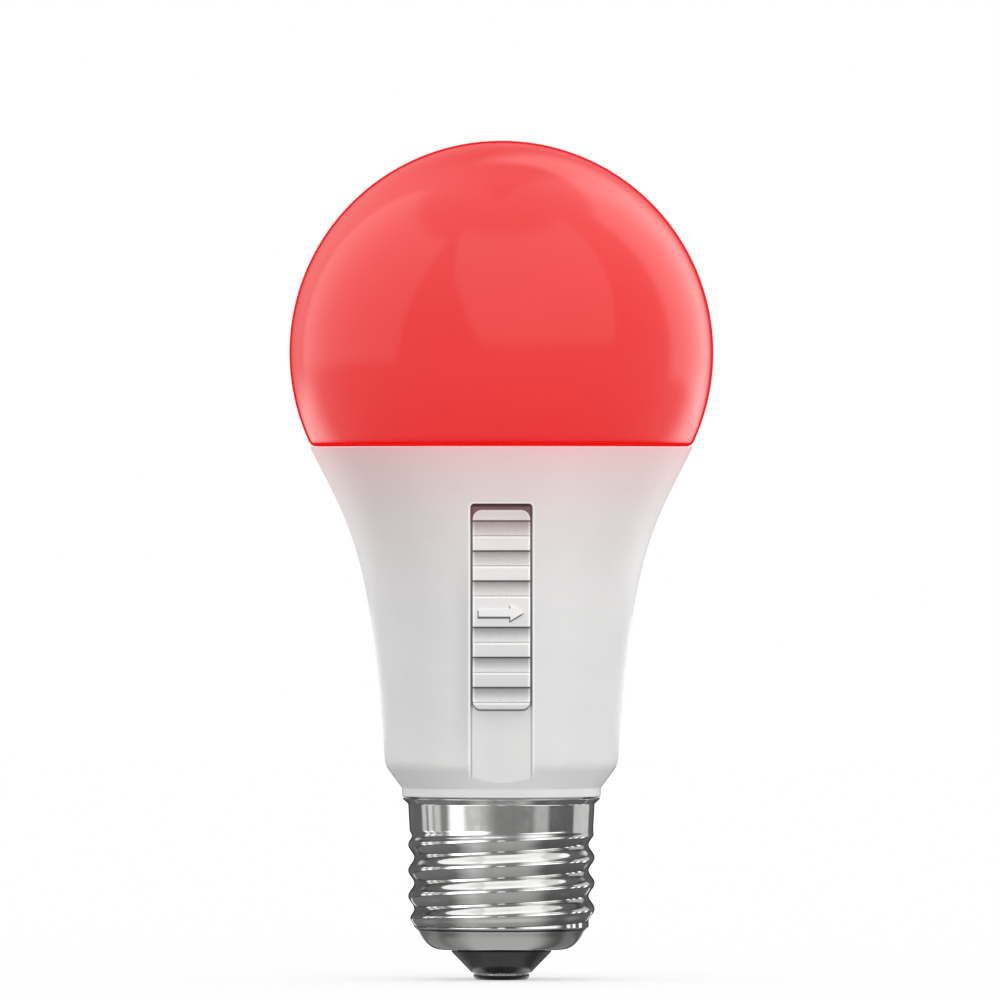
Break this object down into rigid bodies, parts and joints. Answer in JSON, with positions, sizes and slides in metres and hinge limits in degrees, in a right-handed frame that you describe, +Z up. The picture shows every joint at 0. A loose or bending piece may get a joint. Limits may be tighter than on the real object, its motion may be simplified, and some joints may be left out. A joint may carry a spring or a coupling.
{
  "type": "led safelight lamp",
  "caption": "Red LED safelight lamp: a glowing red globe on a flared white housing with a ribbed slide switch and an Edison screw base.",
  "frame": {"origin": "on the lamp's axis at the face of the centre contact, where the lamp bottoms in its lampholder", "axes": "+Z up the lamp's axis from the contact to the top of the globe, -Y out of the face with the slide switch, +X to the right of it"},
  "size_m": [0.06, 0.06, 0.1187],
  "materials": {
    "red_diffuser": "glossy translucent red, lit from inside",
    "silicone": "translucent silicone",
    "white_plastic": "satin moulded",
    "slider_plastic": "fine-grained moulded",
    "nickel_plate": "bright nickel plate",
    "black_insulator": "glossy black",
    "contact_plating": "dark plated",
    "pressed_aluminium": "pressed, plain",
    "white_solder_mask": "white solder mask on aluminium",
    "red_led": "moulded LED package",
    "zinc_screw": "zinc plated",
    "green_board": "green solder mask",
    "tinned_steel": "tinned",
    "brown_phenolic": "phenolic sheet",
    "black_plastic": "moulded",
    "spring_bronze": "spring strip",
    "chip_epoxy": "moulded epoxy",
    "capacitor_sleeve": "shrink sleeve",
    "film_lacquer": "dipped lacquer",
    "resistor_lacquer": "flameproof lacquer on ceramic",
    "ferrite": "sintered",
    "winding_tape": "yellow tape over copper winding",
    "plated_pin": "gold flash",
    "black_insulation": "wire insulation",
    "white_insulation": "wire insulation"
  },
  "bodies": {
    "lamp": {"diffuser_dome": "red_diffuser", "dome_seal_ring": "silicone", "housing": "white_plastic", "base_shell": "nickel_plate", "base_insulator": "black_insulator", "centre_contact": "contact_plating", "heat_sink": "pressed_aluminium", "led_board": "white_solder_mask", "red_led_1": "red_led", "red_led_2": "red_led", "red_led_3": "red_led", "red_led_4": "red_led", "red_led_5": "red_led", "red_led_6": "red_led", "red_led_7": "red_led", "red_led_8": "red_led", "led_board_screw_1": "zinc_screw", "led_board_screw_2": "zinc_screw", "led_board_screw_3": "zinc_screw", "driver_board": "green_board", "switch_base": "brown_phenolic", "switch_can": "tinned_steel", "switch_terminal_1": "tinned_steel", "switch_terminal_2": "tinned_steel", "switch_terminal_3": "tinned_steel", "switch_terminal_4": "tinned_steel", "switch_terminal_5": "tinned_steel", "switch_terminal_6": "tinned_steel", "smoothing_capacitor": "capacitor_sleeve", "film_capacitor": "film_lacquer", "fuse_resistor": "resistor_lacquer", "bridge_rectifier": "chip_epoxy", "driver_ic": "chip_epoxy", "inductor_core": "ferrite", "inductor_winding": "winding_tape", "header_body": "black_plastic", "header_pin_1": "plated_pin", "header_pin_2": "plated_pin", "header_pin_3": "plated_pin", "header_pin_4": "plated_pin", "line_wire": "black_insulation", "neutral_wire": "white_insulation"},
    "slide_button": {"slider_button": "slider_plastic"},
    "switch_slide": {"switch_lever": "black_plastic", "switch_wiper": "spring_bronze"}
  },
  "joints": [
    {"name": "slider_slide", "type": "slide", "parent": "lamp", "child": "slide_button", "axis": [0, 0, -1], "range_m": [0, 0.008]},
    {"name": "lever_slide", "type": "slide", "parent": "lamp", "child": "switch_slide", "axis": [0, 0, -1], "range_m": [0, 0.008]}
  ],
  "couplings": [
    {"joint": "lever_slide", "follows": "slider_slide", "ratio": 1}
  ]
}
